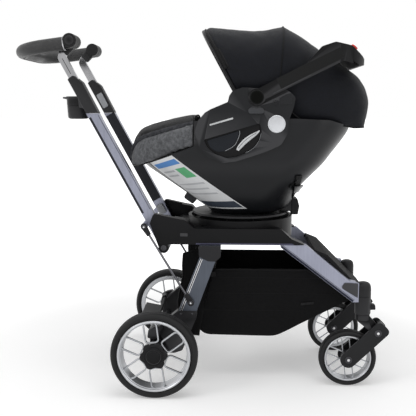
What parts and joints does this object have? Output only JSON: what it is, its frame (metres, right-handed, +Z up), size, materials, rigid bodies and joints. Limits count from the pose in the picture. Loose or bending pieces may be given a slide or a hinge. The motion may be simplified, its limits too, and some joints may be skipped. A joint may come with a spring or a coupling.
{
  "type": "travel system stroller",
  "caption": "Folding stroller chassis with leaning uprights, tilting handlebar and an infant carrier with hood, foot cover and carry handle docked on a swivelling seat mount.",
  "frame": {"origin": "on the floor, at the centre of the footprint of the whole", "axes": "+X to the front wheels, +Y to the rider's left, +Z up"},
  "size_m": [1.1134, 0.562, 1.0712],
  "materials": {
    "black_plastic": "moulded, fine grain",
    "black_paint": "satin paint",
    "satin_black_plastic": "satin to gloss",
    "lavender_aluminium": "satin anodised",
    "blue_grey_aluminium": "satin anodised",
    "chrome_tube": "polished",
    "silver_rim": "silver painted",
    "tyre_rubber": "matt",
    "grip_leatherette": "pebbled",
    "canopy_cloth": "plain weave, slight sheen",
    "basket_cloth": "plain weave",
    "melange_cloth": "mottled grey",
    "charcoal_padding": "quilted",
    "grey_plastic": "moulded",
    "silver_plastic": "silver painted",
    "coral_plastic": "gloss"
  },
  "bodies": {
    "chassis": {"chassis_body": "black_plastic", "hub_spider": "black_plastic", "front_leg_left": "blue_grey_aluminium", "front_leg_right": "blue_grey_aluminium", "front_panel": "satin_black_plastic", "caster_housing_left": "satin_black_plastic", "caster_housing_right": "satin_black_plastic", "basket": "basket_cloth", "rear_leg_left": "blue_grey_aluminium", "rear_leg_right": "blue_grey_aluminium", "rear_axle_beam": "black_paint", "axle_bracket_left": "satin_black_plastic", "axle_bracket_right": "satin_black_plastic"},
    "brake": {"brake_pedal": "grey_plastic"},
    "uprights": {"upright_rail_left": "lavender_aluminium", "upright_rail_right": "lavender_aluminium", "rail_sleeve_left": "satin_black_plastic", "rail_sleeve_right": "satin_black_plastic", "cup_holder": "black_plastic"},
    "link_rods": {"link_rod_left": "chrome_tube", "link_rod_right": "chrome_tube"},
    "fold_slider_left": {"fold_slider_left": "silver_plastic"},
    "fold_slider_right": {"fold_slider_right": "silver_plastic"},
    "handle_tubes": {"handle_tube_left": "chrome_tube", "handle_tube_right": "chrome_tube", "handle_knuckle_left": "black_plastic", "handle_knuckle_right": "black_plastic"},
    "handlebar": {"handle_end_left": "black_plastic", "handle_end_right": "black_plastic", "handlebar_grip": "grip_leatherette"},
    "turntable": {"seat_turntable": "satin_black_plastic"},
    "seat": {"seat_shell": "black_plastic", "side_panel_left": "satin_black_plastic", "side_panel_right": "satin_black_plastic", "canopy_rear": "canopy_cloth", "seat_pad": "charcoal_padding", "foot_cover": "melange_cloth"},
    "carry_handle": {"carry_handle": "black_plastic"},
    "ring_button": {"ring_button": "coral_plastic"},
    "side_button_left": {"handle_side_button_left": "grey_plastic"},
    "side_button_right": {"handle_side_button_right": "grey_plastic"},
    "canopy_bow": {"canopy_bow": "black_plastic", "canopy_front": "canopy_cloth"},
    "release_button": {"release_button": "grey_plastic"},
    "recline_knob": {"recline_knob": "grey_plastic"},
    "rear_wheel_left": {"rear_tyre_left": "tyre_rubber", "rear_rim_left": "silver_rim", "rear_hub_cap_left": "satin_black_plastic"},
    "caster_left": {"caster_fork_left": "black_plastic"},
    "front_swing_left": {"front_arm_left": "satin_black_plastic"},
    "front_wheel_left": {"front_tyre_left": "tyre_rubber", "front_rim_left": "silver_rim"},
    "rear_wheel_right": {"rear_tyre_right": "tyre_rubber", "rear_rim_right": "silver_rim", "rear_hub_cap_right": "satin_black_plastic"},
    "caster_right": {"caster_fork_right": "black_plastic"},
    "front_swing_right": {"front_arm_right": "satin_black_plastic"},
    "front_wheel_right": {"front_tyre_right": "tyre_rubber", "front_rim_right": "silver_rim"}
  },
  "joints": [
    {"name": "rear_wheel_spin_left", "type": "hinge", "parent": "chassis", "child": "rear_wheel_left", "pos_m": [-0.1335, 0.259, 0.127], "axis": [0, 1, 0], "continuous": true},
    {"name": "caster_swivel_left", "type": "hinge", "parent": "chassis", "child": "caster_left", "pos_m": [0.4812, 0.148, 0.222], "axis": [0, 0, 1], "continuous": true},
    {"name": "front_suspension_left", "type": "hinge", "parent": "caster_left", "child": "front_swing_left", "pos_m": [0.5245, 0.148, 0.17], "axis": [0, 1, 0], "range_deg": [0, 5], "stiffness_Nm_per_rad": 60, "springref_deg": -7.45},
    {"name": "front_wheel_spin_left", "type": "hinge", "parent": "front_swing_left", "child": "front_wheel_left", "pos_m": [0.4395, 0.148, 0.086], "axis": [0, 1, 0], "continuous": true},
    {"name": "rear_wheel_spin_right", "type": "hinge", "parent": "chassis", "child": "rear_wheel_right", "pos_m": [-0.1335, -0.259, 0.127], "axis": [0, 1, 0], "continuous": true},
    {"name": "caster_swivel_right", "type": "hinge", "parent": "chassis", "child": "caster_right", "pos_m": [0.4812, -0.148, 0.222], "axis": [0, 0, 1], "continuous": true},
    {"name": "front_suspension_right", "type": "hinge", "parent": "caster_right", "child": "front_swing_right", "pos_m": [0.5245, -0.148, 0.17], "axis": [0, 1, 0], "range_deg": [0, 5], "stiffness_Nm_per_rad": 60, "springref_deg": -7.45},
    {"name": "front_wheel_spin_right", "type": "hinge", "parent": "front_swing_right", "child": "front_wheel_right", "pos_m": [0.4395, -0.148, 0.086], "axis": [0, 1, 0], "continuous": true},
    {"name": "brake_pivot", "type": "hinge", "parent": "chassis", "child": "brake", "pos_m": [-0.1455, 0, 0.175], "axis": [0, -1, 0], "range_deg": [0, 20]},
    {"name": "frame_fold", "type": "hinge", "parent": "chassis", "child": "uprights", "pos_m": [-0.1125, 0, 0.423], "axis": [0, 1, 0], "range_deg": [0, 4]},
    {"name": "link_swing", "type": "hinge", "parent": "chassis", "child": "link_rods", "pos_m": [-0.0318, 0, 0.263], "axis": [0, 1, 0], "range_deg": [0, 1.4]},
    {"name": "fold_slider_slide_left", "type": "slide", "parent": "uprights", "child": "fold_slider_left", "axis": [-0.4741, 0, 0.8805], "range_m": [0, 0.012], "stiffness_N_per_m": 300, "springref_m": -0.004},
    {"name": "fold_slider_slide_right", "type": "slide", "parent": "uprights", "child": "fold_slider_right", "axis": [-0.4741, 0, 0.8805], "range_m": [0, 0.012], "stiffness_N_per_m": 300, "springref_m": -0.004},
    {"name": "handle_height", "type": "slide", "parent": "uprights", "child": "handle_tubes", "axis": [-0.4741, 0, 0.8805], "range_m": [-0.04, 0.04]},
    {"name": "handlebar_tilt", "type": "hinge", "parent": "handle_tubes", "child": "handlebar", "pos_m": [-0.3735, 0, 1.022], "axis": [0, 1, 0], "range_deg": [-30, 40]},
    {"name": "seat_swivel", "type": "hinge", "parent": "chassis", "child": "turntable", "pos_m": [0.114, 0, 0.51], "axis": [0, 0, 1], "continuous": true},
    {"name": "seat_lift", "type": "slide", "parent": "turntable", "child": "seat", "axis": [0, 0, 1], "range_m": [0, 0.12]},
    {"name": "carry_handle_swing", "type": "hinge", "parent": "seat", "child": "carry_handle", "pos_m": [0.1565, 0, 0.862], "axis": [0, -1, 0], "range_deg": [0, 60]},
    {"name": "ring_button_press", "type": "slide", "parent": "carry_handle", "child": "ring_button", "axis": [-0.6161, 0, -0.7877], "range_m": [0, 0.0025], "stiffness_N_per_m": 400, "springref_m": -0.002},
    {"name": "side_button_press_left", "type": "slide", "parent": "seat", "child": "side_button_left", "axis": [0, -1, 0], "range_m": [0, 0.003], "stiffness_N_per_m": 300, "springref_m": -0.002},
    {"name": "side_button_press_right", "type": "slide", "parent": "seat", "child": "side_button_right", "axis": [0, 1, 0], "range_m": [0, 0.003], "stiffness_N_per_m": 300, "springref_m": -0.002},
    {"name": "canopy_fold", "type": "hinge", "parent": "seat", "child": "canopy_bow", "pos_m": [0.1045, 0, 0.868], "axis": [0, 1, 0], "range_deg": [0, 25], "deforming": ["canopy_front"]},
    {"name": "release_slide", "type": "slide", "parent": "seat", "child": "release_button", "axis": [-0.8065, 0, 0.5912], "range_m": [0, 0.006], "stiffness_N_per_m": 300, "springref_m": -0.003},
    {"name": "recline_pull", "type": "slide", "parent": "seat", "child": "recline_knob", "axis": [1, 0, 0], "range_m": [0, 0.004], "stiffness_N_per_m": 300, "springref_m": -0.003}
  ],
  "couplings": [
    {"joint": "link_swing", "follows": "frame_fold", "ratio": 0.325}
  ]
}
